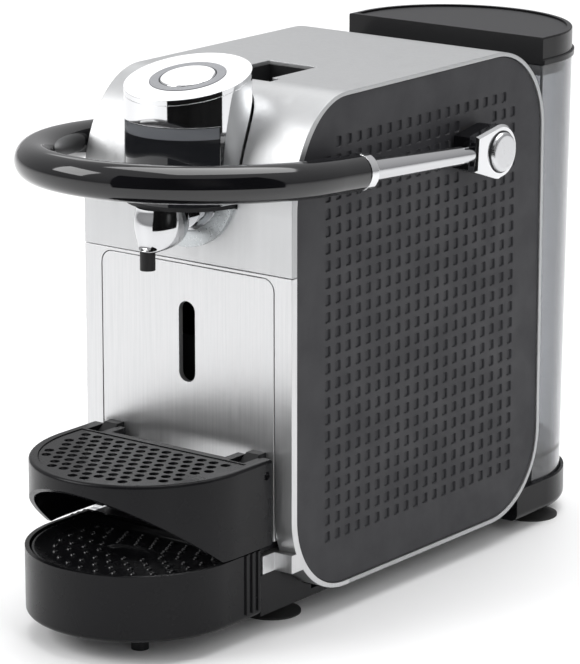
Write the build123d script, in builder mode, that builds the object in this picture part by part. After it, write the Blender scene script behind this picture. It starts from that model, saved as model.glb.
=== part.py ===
from build123d import *
import os
from math import atan2, cos, degrees, radians, sin, sqrt

# Pod coffee machine. Millimetres, +Z up, the front faces -Y.
# The origin is on the surface the machine stands on, at the middle of its footprint.

os.makedirs("parts", exist_ok=True)

# ---------------------------------------------------------------- driving dimensions
case_w = 127.0            # case width
case_d = 210.4            # case depth
case_h = 244.2            # case height
case_z = 14.0             # underside of the case above the table
front_y = -94.0           # front face of the case
corner_r = 42.5           # corner radius of the side profile
brow_drop = 54.0          # height of the longer front top corner
rim_t = 2.0               # case wall at the top, back and underside
front_rim_t = 4.0         # case wall at the front
gap = 0.4                 # shadow gap between neighbouring covers
run_fit = 0.06            # radial clearance of a running fit

seam_z = case_z + 161.3   # seam across the front
door_half_w = 52.6
door_top_z = case_z + 159.5
door_low_z = case_z + 30.5
door_corner_r = 6.5
finger_slot_w = 10.0
finger_slot_low_z = case_z + 101.0
finger_slot_top_z = case_z + 141.0
sill_low_z = case_z + 16.5
sill_top_z = case_z + 25.5

head_y = front_y + 2.0    # vertical axis of the brew head
head_r = 30.5
head_wall = 2.7
head_low_z = case_z + 193.0
band_top_z = case_z + 231.0
head_top_z = case_z + 250.0
head_tilt = 12.0          # the head's top slopes down to the front
window_half_angle = 68.0
button_r = 13.5
light_r = 18.4

collar_z = case_z + 199.5
collar_r = 31.0
collar_bore_r = 23.0

pivot_y = front_y + 149.0
pivot_z = case_z + 199.5
lever_rise = 4.0          # degrees the lever rises towards the front
arm_x = 74.0
arm_straight = 134.0
grip_r = 9.0
nose_arc_r = 60.0         # the grip's U is two wide arcs and a tighter nose
nose_centre = 34.0
shaft_r = 6.0
crank_len = 28.0
link_len = 42.0
crank_pin_r = 3.0

shelf_top_z = case_z + 73.2
shelf_low_z = case_z + 31.2
shelf_half_w = 55.5
shelf_nose = 59.0
shelf_nose_y = front_y - 30.0
shelf_pin_y = front_y - 9.0
shelf_pin_z = case_z + 66.0
tray_low_z = case_z - 2.7
tray_rim_z = case_z + 30.0
tray_half_w = 54.0
tray_nose = 53.0
tray_nose_y = front_y - 39.0
tray_back_y = front_y - 12.0

tank_half_w = 61.0
tank_nose = 55.0
tank_nose_y = front_y + 224.0
tank_flat_y = front_y + 212.0
tank_low_z = case_z + 0.4
tank_top_z = case_z + 231.0
tank_wall = 2.2
tank_floor_z = case_z + 24.0
lid_top_z = case_z + 245.5
holder_low_z = case_z - 7.0
holder_top_z = case_z + 10.0

foot_r = 14.5


def save(piece, label):
    """Name a finished piece and write it as one STEP file."""
    piece.label = label
    export_step(piece, f"parts/{label}.step")


def case_profile(inset, front_inset):
    """Side profile of the case, drawn with Y across and Z up."""
    y0, y1 = front_y + front_inset, front_y + case_d - inset
    z0, z1 = case_z + inset, case_z + case_h - inset
    r_back = corner_r - inset
    r_front = corner_r - front_inset
    drop = brow_drop - inset
    with BuildSketch() as face:
        with BuildLine():
            Line((y0, z0 + r_back), (y0, z1 - drop))
            EllipticalCenterArc((y0 + r_front, z1 - drop), r_front, drop, 90, arc_size=90)
            Line((y0 + r_front, z1), (y1 - r_back, z1))
            CenterArc((y1 - r_back, z1 - r_back), r_back, 0, 90)
            Line((y1, z1 - r_back), (y1, z0 + r_back))
            CenterArc((y1 - r_back, z0 + r_back), r_back, 270, 90)
            Line((y1 - r_back, z0), (y0 + r_front, z0))
            EllipticalCenterArc((y0 + r_front, z0 + r_back), r_front, r_back, 180, arc_size=90)
        make_face()
    return face.sketch


def d_plan(half_w, nose, nose_y, flat_y):
    """D-shaped plan with a flat edge; a negative nose points to the front."""
    start = 0 if nose > 0 else 180
    with BuildSketch() as face:
        with BuildLine():
            EllipticalCenterArc((0, nose_y), half_w, abs(nose), start, arc_size=180)
            Polyline((-half_w, nose_y), (-half_w, flat_y), (half_w, flat_y), (half_w, nose_y))
        make_face()
    return face.sketch


def side_copy(piece):
    """The same piece on the other side of the machine."""
    return mirror(piece, about=Plane.YZ)


# ---------------------------------------------------------------- shared solids
half_w = case_w / 2
back_y = front_y + case_d
tilt_plane = Plane(
    origin=(0, head_y, head_top_z),
    x_dir=(1, 0, 0),
    z_dir=(0, -sin(radians(head_tilt)), cos(radians(head_tilt))),
)
lever_plane = Plane(
    origin=(0, pivot_y, pivot_z),
    x_dir=(1, 0, 0),
    z_dir=(0, sin(radians(lever_rise)), cos(radians(lever_rise))),
)

# space that the case fills, a shadow gap larger all round; cut from what stands against it
with BuildPart() as case_envelope:
    with BuildSketch(Plane.YZ):
        add(case_profile(-gap, -gap))
    extrude(amount=half_w + gap, both=True)

# ---------------------------------------------------------------- case
slot_half_w = 15.0
slot_front_y = front_y + 40.0
slot_back_y = front_y + 84.0
slot_flange_half_w = 20.0
slot_flange_back_y = front_y + 48.0
outlet_z = case_z + 184.0
outlet_r = 5.5
front_split_y = front_y + corner_r + 4.0

with BuildPart() as case_shell:
    with BuildSketch(Plane.YZ):
        add(case_profile(0, 0))
        add(case_profile(rim_t, front_rim_t), mode=Mode.SUBTRACT)
    extrude(amount=half_w, both=True)
    # the lower front is a separate frame
    with BuildSketch(Plane.XY):
        with Locations((0, front_y - 1)):
            Rectangle(case_w + 2, front_split_y - front_y + 1, align=(Align.CENTER, Align.MIN))
    extrude(amount=seam_z, mode=Mode.SUBTRACT)
    # the head stands in a round cut-out
    with BuildSketch(Plane.XY.offset(head_low_z - 2.5)):
        with Locations((0, head_y)):
            Circle(head_r + 0.8)
    extrude(amount=case_h, mode=Mode.SUBTRACT)
    # capsule slot, with a wider stretch for the capsule's flange
    with BuildSketch(Plane.XY.offset(case_z + case_h - 10)):
        with Locations((0, slot_front_y)):
            Rectangle(2 * slot_half_w, slot_back_y - slot_front_y, align=(Align.CENTER, Align.MIN))
            Rectangle(
                2 * slot_flange_half_w, slot_flange_back_y - slot_front_y, align=(Align.CENTER, Align.MIN)
            )
    extrude(amount=20, mode=Mode.SUBTRACT)
    # hole for the coffee outlet
    with BuildSketch(Plane.XZ.offset(-front_y - 10)):
        with Locations((0, outlet_z)):
            Circle(outlet_r + 0.3)
    extrude(amount=20, mode=Mode.SUBTRACT)
save(case_shell.part, "case_shell")

# sill and cross bar above and below the door opening
with BuildPart() as front_bars:
    with BuildSketch(Plane.YZ):
        add(case_profile(0, 0))
        with Locations(((front_y - 9 + front_split_y) / 2, (sill_low_z + sill_top_z) / 2)):
            Rectangle(front_split_y - front_y + 9, sill_top_z - sill_low_z)
        add(case_profile(rim_t, front_rim_t), mode=Mode.SUBTRACT)
    extrude(amount=half_w, both=True)
    # only the front, below the seam, less a shadow gap
    with BuildSketch(Plane.XY.offset(seam_z - gap)):
        Rectangle(3 * case_w, 3 * case_d)
    extrude(amount=case_h, mode=Mode.SUBTRACT)
    with BuildSketch(Plane.XY):
        with Locations((0, front_split_y - gap)):
            Rectangle(case_w + 2, case_d, align=(Align.CENTER, Align.MIN))
    extrude(amount=case_h, mode=Mode.SUBTRACT)
    # the sill in front of the case is as wide as the base
    sill_half_w = 53.0
    with BuildSketch(Plane.XY):
        for side in (-1, 1):
            with Locations((side * (sill_half_w + 10), front_y - 10)):
                Rectangle(20, 20)
    extrude(amount=sill_top_z + 1, mode=Mode.SUBTRACT)
    # door opening
    with BuildSketch(Plane.XZ.offset(-front_y + 12)):
        with Locations((0, (door_top_z + sill_top_z) / 2)):
            RectangleRounded(2 * door_half_w + 1.2, door_top_z - sill_top_z, door_corner_r)
        with Locations((0, sill_top_z)):
            Rectangle(2 * door_half_w + 1.2, 20, align=(Align.CENTER, Align.MIN))
    extrude(amount=-40, mode=Mode.SUBTRACT)
# the curved lower corner keeps its bands beside the opening
with BuildPart() as front_bands:
    with BuildSketch(Plane.YZ):
        add(case_profile(0, 0))
        add(case_profile(rim_t, front_rim_t), mode=Mode.SUBTRACT)
    extrude(amount=half_w, both=True)
    with BuildSketch(Plane.XY):
        Rectangle(2 * door_half_w + 1.2, 3 * case_d)
    extrude(amount=2 * case_h, mode=Mode.SUBTRACT)
    with BuildSketch(Plane.XY):
        with Locations((0, front_split_y - gap)):
            Rectangle(case_w + 2, case_d, align=(Align.CENTER, Align.MIN))
    extrude(amount=2 * case_h, mode=Mode.SUBTRACT)
    with BuildSketch(Plane.XY.offset(seam_z - gap)):
        Rectangle(3 * case_w, 3 * case_d)
    extrude(amount=case_h, mode=Mode.SUBTRACT)
with BuildPart() as front_frame:
    add(front_bars.part)
    add(front_bands.part)
save(front_frame.part, "front_frame")

# side panels sit inside the rim of the case
panel_t = 2.5
panel_recess = 0.8
with BuildPart() as side_panel_right:
    with BuildSketch(Plane.YZ.offset(half_w - panel_recess - panel_t)):
        add(case_profile(rim_t + 0.15, front_rim_t + 0.15))
        with Locations((pivot_y, pivot_z)):
            Circle(shaft_r + 3.6, mode=Mode.SUBTRACT)
    extrude(amount=panel_t)
save(side_panel_right.part, "side_panel_right")

cord_y = front_y + 176.0
cord_z = case_z + 30.0
with BuildPart() as side_panel_left:
    add(side_copy(side_panel_right.part))
    with BuildSketch(Plane.YZ.offset(-half_w - 1)):
        with Locations((cord_y, cord_z)):
            Circle(6.0)
    extrude(amount=8, mode=Mode.SUBTRACT)
save(side_panel_left.part, "side_panel_left")

with BuildPart() as cord_gland:
    with BuildSketch(Plane.YZ.offset(-half_w - 5)):
        with Locations((cord_y, cord_z)):
            Circle(5.0)
    extrude(amount=12)
    with BuildSketch(Plane.YZ.offset(-half_w + panel_recess - 1.5)):
        with Locations((cord_y, cord_z)):
            Circle(9.0)
    extrude(amount=1.5)
    with BuildSketch(Plane.YZ.offset(-half_w - 6)):
        with Locations((cord_y, cord_z)):
            Circle(3.4)
    extrude(amount=14, mode=Mode.SUBTRACT)
save(cord_gland.part, "cord_gland")

# ---------------------------------------------------------------- base, holder and feet
base_half_w = 53.0
base_low_z = case_z - 4.0
with BuildPart() as base:
    with BuildSketch(Plane.XY.offset(base_low_z)):
        with Locations((0, front_y - 11)):
            Rectangle(2 * base_half_w, 206, align=(Align.CENTER, Align.MIN))
    extrude(amount=case_z - gap - base_low_z)
    # hollow block under the rounded front of the case
    with BuildSketch(Plane.XY.offset(base_low_z)):
        with Locations((0, front_y - 11)):
            Rectangle(2 * base_half_w, 40, align=(Align.CENTER, Align.MIN))
    extrude(amount=sill_low_z - base_low_z)
    with BuildSketch(Plane.XY.offset(base_low_z + 2.5)):
        with Locations((0, front_y - 8)):
            Rectangle(2 * base_half_w - 6, 34, align=(Align.CENTER, Align.MIN))
    extrude(amount=sill_low_z - base_low_z - 5, mode=Mode.SUBTRACT)
    add(case_envelope.part, mode=Mode.SUBTRACT)
save(base.part, "base")

with BuildPart() as tank_holder:
    with BuildSketch(Plane.XY.offset(holder_low_z)):
        add(d_plan(tank_half_w - 0.5, tank_nose, tank_nose_y, front_y + 196))
    extrude(amount=holder_top_z - holder_low_z)
    fillet(tank_holder.faces().sort_by(Axis.Z)[0].edges().filter_by(GeomType.ELLIPSE), 4.0)
    with BuildSketch(Plane.XY.offset(case_z)):
        add(d_plan(tank_half_w - 2.0, tank_nose - 1.9, tank_nose_y, tank_flat_y - 0.5))
    extrude(amount=holder_top_z, mode=Mode.SUBTRACT)
    add(case_envelope.part, mode=Mode.SUBTRACT)
save(tank_holder.part, "tank_holder")


front_foot_x, front_foot_y = 34.0, front_y + 22.0
rear_foot_x, rear_foot_y = 45.0, front_y + 231.0
for label, x, y, top_z in (
    ("front_feet", front_foot_x, front_foot_y, base_low_z),
    ("rear_feet", rear_foot_x, rear_foot_y, holder_low_z),
):
    # rubber feet with a flared lip
    with BuildPart() as feet:
        with BuildSketch(Plane(origin=(x, y, 0), x_dir=(1, 0, 0), z_dir=(0, -1, 0))):
            with BuildLine():
                Polyline(
                    (0, 0.6), (foot_r - 5, 0.6), (foot_r - 3, 0), (foot_r, 0), (foot_r, 0.9),
                    (foot_r - 7.5, 4.2),
                    (foot_r - 7.5, top_z), (0, top_z), close=True,
                )
            make_face()
        revolve(axis=Axis((x, y, 0), (0, 0, 1)))
        mirror(about=Plane.YZ)
    save(feet.part, label)

# ---------------------------------------------------------------- brew head
band_half_angle = window_half_angle + 0.6


def front_sector(r_in, r_out, half_angle):
    """Ring sector about the head's axis, centred on the front."""
    with BuildSketch() as face:
        with BuildLine():
            CenterArc((0, head_y), r_out, 270 - half_angle, 2 * half_angle)
            CenterArc((0, head_y), r_in, 270 - half_angle, 2 * half_angle)
            for side in (-1, 1):
                sx = side * sin(radians(half_angle))
                sy = -cos(radians(half_angle))
                Line((r_in * sx, head_y + r_in * sy), (r_out * sx, head_y + r_out * sy))
        make_face()
    return face.sketch


ring_t = 2.5
with BuildPart() as head_housing:
    with BuildSketch(Plane.XY.offset(head_low_z)):
        with Locations((0, head_y)):
            Circle(head_r)
            Circle(head_r - head_wall, mode=Mode.SUBTRACT)
    extrude(amount=head_top_z - head_low_z + 20)
    with BuildSketch(Plane.XY.offset(head_low_z - 1)):
        add(front_sector(head_r - head_wall - 1, head_r + 1, band_half_angle))
    extrude(amount=band_top_z - head_low_z + 1, mode=Mode.SUBTRACT)
    split(bisect_by=tilt_plane.offset(-ring_t), keep=Keep.BOTTOM)
save(head_housing.part, "head_housing")

with BuildPart() as head_ring:
    with BuildSketch(Plane.XY.offset(head_top_z - 20)):
        with Locations((0, head_y)):
            Circle(head_r)
    extrude(amount=40)
    split(bisect_by=tilt_plane, keep=Keep.BOTTOM)
    split(bisect_by=tilt_plane.offset(-ring_t), keep=Keep.TOP)
    with BuildSketch(tilt_plane.offset(-10)):
        Circle(light_r + 0.1)
    extrude(amount=20, mode=Mode.SUBTRACT)
save(head_ring.part, "head_ring")

with BuildPart() as light_ring:
    with BuildSketch(tilt_plane.offset(-3.0)):
        Circle(light_r)
        Circle(button_r + 0.4, mode=Mode.SUBTRACT)
    extrude(amount=3.2)
save(light_ring.part, "light_ring")

button_travel = 1.5
with BuildPart() as brew_button:
    with BuildSketch(tilt_plane.offset(-7.0)):
        Circle(button_r)
    extrude(amount=7.6)
    fillet(brew_button.edges().sort_by(Axis.Z)[-1], 0.8)
    with BuildSketch(tilt_plane.offset(-9.0)):
        Circle(3.0)
    extrude(amount=2.0)
save(brew_button.part, "brew_button")

with BuildPart() as button_board:
    with BuildSketch(tilt_plane.offset(-13.5)):
        Circle(head_r - head_wall - 2.5)
    extrude(amount=1.6)
    with BuildSketch(tilt_plane.offset(-11.9)):
        Rectangle(6, 6)
    extrude(amount=1.2)
save(button_board.part, "button_board")

with BuildPart() as head_window:
    with BuildSketch(Plane.XY.offset(head_low_z)):
        add(front_sector(head_r - head_wall, head_r - 0.2, window_half_angle))
    extrude(amount=band_top_z - head_low_z - 0.4)
save(head_window.part, "head_window")

head_floor_t = 2.0
with BuildPart() as head_floor:
    with BuildSketch(Plane.XY.offset(head_low_z - head_floor_t)):
        with Locations((0, head_y)):
            Circle(head_r - 0.2)
    extrude(amount=head_floor_t)
save(head_floor.part, "head_floor")

# collar on the front of the case, hidden above by the head
collar_t = 3.0
for label, r_out, r_in, depth in (
    ("outlet_collar", collar_r, collar_bore_r + 0.1, collar_t),
    ("outlet_plate", collar_bore_r, outlet_r + 0.05, collar_t - 0.6),
):
    with BuildPart() as disc:
        with BuildSketch(Plane.XZ.offset(-front_y)):
            with Locations((0, collar_z)):
                Circle(r_out)
            if label == "outlet_collar":
                with Locations((0, collar_z)):
                    Circle(r_in, mode=Mode.SUBTRACT)
            else:
                with Locations((0, outlet_z)):
                    Circle(r_in, mode=Mode.SUBTRACT)
            with Locations((0, head_low_z - head_floor_t - 0.3)):
                Rectangle(3 * r_out, 3 * r_out, align=(Align.CENTER, Align.MIN), mode=Mode.SUBTRACT)
        extrude(amount=depth)
    save(disc.part, label)

# spout: a rounded chrome body that leans forward to the nozzle
nozzle_y = front_y - 28.9
nozzle_r = 3.7
nozzle_low_z = case_z + 162.0
spout_low_z = case_z + 171.0
spout_top_z = head_low_z - head_floor_t
spout_sections = (
    (spout_top_z, front_y - 18.0, 12.4),
    (spout_top_z - 5.0, front_y - 18.2, 13.1),
    (spout_top_z - 11.0, front_y - 18.8, 12.8),
    (spout_top_z - 16.0, front_y - 20.0, 10.9),
    (spout_low_z + 1.2, front_y - 23.4, 8.0),
    (spout_low_z, front_y - 26.6, 5.4),
)
with BuildPart() as spout:
    for z, y, r in spout_sections:
        with BuildSketch(Plane.XY.offset(z)):
            with Locations((0, y)):
                Circle(r)
    loft()
    with BuildSketch(Plane.XZ.offset(-front_y + collar_t - 0.6)):
        with Locations((0, outlet_z)):
            Circle(outlet_r + 1.2)
    extrude(amount=17)
    with BuildSketch(Plane.XY.offset(spout_low_z - 1)):
        with Locations((0, nozzle_y)):
            Circle(1.8)
    extrude(amount=9, mode=Mode.SUBTRACT)
save(spout.part, "spout")

with BuildPart() as nozzle:
    with BuildSketch(Plane.XY.offset(nozzle_low_z)):
        with Locations((0, nozzle_y)):
            Circle(nozzle_r)
            Circle(1.8, mode=Mode.SUBTRACT)
    extrude(amount=spout_low_z - nozzle_low_z)
save(nozzle.part, "nozzle")

# ---------------------------------------------------------------- lever
arm_start = -21.0          # along the lever, from the pivot towards the front
collar_start = -103.0
collar_end = -113.0
arm_plane = Plane(
    origin=lever_plane.from_local_coords((arm_x, arm_start, 0)),
    z_dir=-lever_plane.y_dir,
)
with BuildPart() as lever_arms:
    with BuildSketch(arm_plane):
        Circle(4.6)
    with BuildSketch(arm_plane.offset(arm_start - collar_start)):
        Circle(5.9)
    loft()
    mirror(about=Plane.YZ)
save(lever_arms.part, "lever_arms")

with BuildPart() as lever_collars:
    with BuildSketch(arm_plane.offset(arm_start - collar_start)):
        Circle(6.2)
    with BuildSketch(arm_plane.offset(arm_start - collar_start + 4.5)):
        Circle(grip_r - 0.6)
    loft()
    with BuildSketch(arm_plane.offset(arm_start - collar_start + 4.5)):
        Circle(grip_r + 0.3)
    extrude(amount=collar_start - collar_end - 4.5)
    mirror(about=Plane.YZ)
save(lever_collars.part, "lever_collars")

side_arc_r = (arm_x**2 + nose_centre**2 - nose_arc_r**2) / (2 * (arm_x - nose_arc_r))
side_centre_x = side_arc_r - arm_x
side_sweep = degrees(atan2(nose_centre, side_centre_x))
nose_y = -arm_straight - nose_centre
with BuildPart() as lever_grip:
    with BuildLine(lever_plane):
        Line((arm_x, collar_end), (arm_x, -arm_straight))
        CenterArc((-side_centre_x, -arm_straight), side_arc_r, 0, -side_sweep)
        CenterArc((0, nose_y), nose_arc_r, -side_sweep, 2 * side_sweep - 180)
        CenterArc((side_centre_x, -arm_straight), side_arc_r, side_sweep - 180, -side_sweep)
        Line((-arm_x, -arm_straight), (-arm_x, collar_end))
    with BuildSketch(arm_plane.offset(arm_start - collar_end)):
        Circle(grip_r)
    sweep()
save(lever_grip.part, "lever_grip")

boss_in_x = half_w + 1.6
plate_in_x = 74.5
plate_out_x = 79.5
boss_r = 13.6


def boss_face(shrink):
    """Outline of the lever's boss: round about the pivot, flat at the front."""
    with BuildSketch() as face:
        with BuildLine() as hull_lines:
            CenterArc((0, 0), boss_r - shrink, -110, 210)
        with BuildLine() as front_lines:
            Line((arm_start, -8.5 + shrink), (arm_start, 9.0 - shrink))
        make_hull(hull_lines.edges() + front_lines.edges())
    return face.sketch


boss_plane = Plane(origin=(0, pivot_y, pivot_z), x_dir=lever_plane.y_dir, z_dir=(1, 0, 0))
for label, x_in, x_out, shrink in (
    ("lever_bosses", boss_in_x, plate_in_x, 0.8),
    ("lever_plates", plate_in_x, plate_out_x, 0.0),
):
    with BuildPart() as boss:
        with BuildSketch(boss_plane.offset(x_in)):
            add(boss_face(shrink))
        extrude(amount=x_out - x_in)
        if label == "lever_plates":
            chamfer(boss.faces().sort_by(Axis.X)[-1].edges(), 1.2)
        else:
            with BuildSketch(boss_plane.offset(x_in)):
                Circle(shaft_r)
            extrude(amount=x_out - x_in, mode=Mode.SUBTRACT)
        mirror(about=Plane.YZ)
    save(boss.part, label)

with BuildPart() as lever_caps:
    with BuildSketch(boss_plane.offset(plate_out_x)):
        Circle(10.0)
    extrude(amount=2.5)
    fillet(lever_caps.faces().sort_by(Axis.X)[-1].edges(), 2.0)
    mirror(about=Plane.YZ)
save(lever_caps.part, "lever_caps")

with BuildPart() as lever_shaft:
    with BuildSketch(Plane.YZ.offset(-plate_in_x)):
        with Locations((pivot_y, pivot_z)):
            Circle(shaft_r)
    extrude(amount=2 * plate_in_x)
save(lever_shaft.part, "lever_shaft")

with BuildPart() as lever_bushes:
    with BuildSketch(Plane.YZ.offset(half_w - panel_recess - panel_t - 3)):
        with Locations((pivot_y, pivot_z)):
            Circle(shaft_r + 3.5)
            Circle(shaft_r + run_fit, mode=Mode.SUBTRACT)
    extrude(amount=panel_t + 3 + panel_recess + 1.0)
    mirror(about=Plane.YZ)
save(lever_bushes.part, "lever_bushes")

# ---------------------------------------------------------------- brewing mechanism
brew_z = pivot_z
plate_x = 36.0             # inner face of the brew frame's side plates
plate_t = 3.0
crank_in_x, crank_out_x = 28.5, 34.5
link_in_x, link_out_x = 22.3, 27.5
ear_in_x, ear_out_x = 14.0, 21.6
crank_pin_y = pivot_y - crank_len
carriage_pin_y = crank_pin_y - link_len

with BuildPart() as cranks:
    with BuildSketch(Plane.YZ.offset(crank_in_x)):
        with Locations((pivot_y, pivot_z)):
            Circle(shaft_r + 4.5)
        with Locations((crank_pin_y, pivot_z)):
            Circle(crank_pin_r + 3.5)
        make_hull()
        with Locations((pivot_y, pivot_z)):
            Circle(shaft_r, mode=Mode.SUBTRACT)
    extrude(amount=crank_out_x - crank_in_x)
    with BuildSketch(Plane.YZ.offset(link_in_x - 0.2)):
        with Locations((crank_pin_y, pivot_z)):
            Circle(crank_pin_r)
    extrude(amount=crank_in_x - link_in_x + 0.2)
    mirror(about=Plane.YZ)
save(cranks.part, "cranks")

with BuildPart() as toggle_links:
    with BuildSketch(Plane.YZ.offset(link_in_x)):
        with Locations((crank_pin_y, pivot_z), (carriage_pin_y, pivot_z)):
            Circle(crank_pin_r + 3.2)
        make_hull()
        with Locations((crank_pin_y, pivot_z)):
            Circle(crank_pin_r + run_fit, mode=Mode.SUBTRACT)
        with Locations((carriage_pin_y, pivot_z)):
            Circle(crank_pin_r + 0.4, mode=Mode.SUBTRACT)
    extrude(amount=link_out_x - link_in_x)
    mirror(about=Plane.YZ)
save(toggle_links.part, "toggle_links")

cup_front_y = front_y + 44.0
cup_back_y = front_y + 73.0
with BuildPart() as brew_carriage:
    with BuildSketch(Plane.XZ.offset(-cup_back_y)):
        with Locations((0, brew_z)):
            Circle(21.5)
    extrude(amount=cup_back_y - cup_front_y)
    # wings that run in the side plates' guides
    with BuildSketch(Plane.XZ.offset(-cup_back_y + 11)):
        with Locations((0, brew_z)):
            Rectangle(2 * plate_x - 0.6, 9)
    extrude(amount=cup_back_y - cup_front_y - 14)
    # ears for the links' pin
    with BuildSketch(Plane.YZ):
        with Locations((carriage_pin_y - 3, brew_z)):
            Rectangle(16, 13)
    extrude(amount=ear_out_x, both=True)
    with BuildSketch(Plane.YZ):
        with Locations((carriage_pin_y + 1, brew_z)):
            Rectangle(14, 15)
    extrude(amount=ear_in_x, both=True, mode=Mode.SUBTRACT)
    with BuildSketch(Plane.YZ):
        with Locations((carriage_pin_y, brew_z)):
            Circle(crank_pin_r)
    extrude(amount=ear_out_x + 1, both=True, mode=Mode.SUBTRACT)
    # the capsule's seat opens to the front
    with BuildSketch(Plane.XZ.offset(-cup_back_y + 4)):
        with Locations((0, brew_z)):
            Circle(12.0)
    with BuildSketch(Plane.XZ.offset(-cup_front_y)):
        with Locations((0, brew_z)):
            Circle(15.5)
    loft(mode=Mode.SUBTRACT)
save(brew_carriage.part, "brew_carriage")

with BuildPart() as carriage_pin:
    with BuildSketch(Plane.YZ):
        with Locations((carriage_pin_y, brew_z)):
            Circle(crank_pin_r)
    extrude(amount=ear_out_x, both=True)
save(carriage_pin.part, "carriage_pin")

block_back_y = cup_front_y - 0.8
block_front_y = front_y + 36.0
with BuildPart() as brew_block:
    with BuildSketch(Plane.XZ.offset(-block_back_y)):
        with Locations((0, brew_z - 4)):
            RectangleRounded(2 * plate_x - 0.2, 56, 5)
    extrude(amount=block_back_y - block_front_y)
    # outlet tube to the front of the case
    with BuildSketch(Plane.XZ.offset(-block_front_y)):
        with Locations((0, outlet_z)):
            Circle(outlet_r)
    extrude(amount=block_front_y - front_y + collar_t - 0.6)
    with BuildSketch(Plane.XZ.offset(-block_back_y - 1)):
        with Locations((0, outlet_z)):
            Circle(3.0)
    extrude(amount=60, mode=Mode.SUBTRACT)
save(brew_block.part, "brew_block")

with BuildPart() as brew_side_plates:
    with BuildSketch(Plane.YZ.offset(plate_x)):
        with Locations((front_y + 34.5, pivot_z - 4)):
            Rectangle(132, 56, align=(Align.MIN, Align.CENTER))
        with Locations((pivot_y, pivot_z)):
            Circle(shaft_r + run_fit, mode=Mode.SUBTRACT)
    extrude(amount=plate_t)
    mirror(about=Plane.YZ)
save(brew_side_plates.part, "brew_side_plates")

chute_half_w = slot_flange_half_w + 2.0
with BuildPart() as capsule_chute:
    with BuildSketch(Plane.XY.offset(brew_z + 24.2)):
        with Locations((0, slot_front_y - 2)):
            Rectangle(2 * chute_half_w, slot_back_y - slot_front_y + 4, align=(Align.CENTER, Align.MIN))
        with Locations((0, slot_front_y)):
            Rectangle(
                2 * slot_half_w,
                slot_back_y - slot_front_y,
                align=(Align.CENTER, Align.MIN),
                mode=Mode.SUBTRACT,
            )
            Rectangle(
                2 * slot_flange_half_w, slot_flange_back_y - slot_front_y,
                align=(Align.CENTER, Align.MIN), mode=Mode.SUBTRACT,
            )
    extrude(amount=case_z + case_h - rim_t - brew_z - 24.2)
    add(case_shell.part, mode=Mode.SUBTRACT)
save(capsule_chute.part, "capsule_chute")

# ---------------------------------------------------------------- drawer
frame_half_w = 50.0
frame_t = 3.5
frame_low_z = sill_top_z + 0.7
frame_back_y = front_y + 112.0
with BuildPart() as drawer_frame:
    with BuildSketch(Plane.XY.offset(frame_low_z)):
        with Locations((0, front_y - 11.5)):
            Rectangle(2 * frame_half_w, frame_back_y - front_y + 11.5, align=(Align.CENTER, Align.MIN))
    extrude(amount=frame_t)
save(drawer_frame.part, "drawer_frame")

rail_len = 104.0
with BuildPart() as drawer_rails:
    with BuildSketch(Plane.XZ.offset(-front_y - 12)):
        with Locations((frame_half_w + 0.4, frame_low_z - 3)):
            Rectangle(6, 9, align=(Align.MIN, Align.MIN))
        with Locations((frame_half_w - 4, frame_low_z - 3)):
            Rectangle(5, 2.6, align=(Align.MIN, Align.MIN))
    extrude(amount=-rail_len)
    mirror(about=Plane.YZ)
save(drawer_rails.part, "drawer_rails")

bin_front_y = front_y + 14.0
bin_back_y = front_y + 110.0
bin_half_w = 46.0
bin_low_z = frame_low_z + frame_t
bin_top_z = case_z + 120.0
with BuildPart() as capsule_bin:
    with BuildSketch(Plane.XY.offset(bin_low_z)):
        with Locations((0, (bin_front_y + bin_back_y) / 2)):
            RectangleRounded(2 * bin_half_w, bin_back_y - bin_front_y, 8)
    extrude(amount=bin_top_z - bin_low_z)
    with BuildSketch(Plane.XY.offset(bin_low_z + 2)):
        with Locations((0, (bin_front_y + bin_back_y) / 2)):
            RectangleRounded(2 * bin_half_w - 4, bin_back_y - bin_front_y - 4, 6)
    extrude(amount=bin_top_z, mode=Mode.SUBTRACT)
save(capsule_bin.part, "capsule_bin")

door_t = 3.0
with BuildPart() as bin_door:
    with BuildSketch(Plane.XZ.offset(-front_y - door_t)):
        with Locations((0, (door_low_z + door_top_z - gap) / 2)):
            RectangleRounded(2 * door_half_w, door_top_z - gap - door_low_z, door_corner_r - 0.6)
        with Locations((0, door_low_z)):
            Rectangle(2 * door_half_w, 12, align=(Align.CENTER, Align.MIN))
        with Locations((0, (finger_slot_low_z + finger_slot_top_z) / 2)):
            SlotOverall(finger_slot_top_z - finger_slot_low_z, finger_slot_w, 90, mode=Mode.SUBTRACT)
    extrude(amount=door_t)
save(bin_door.part, "bin_door")

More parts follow.
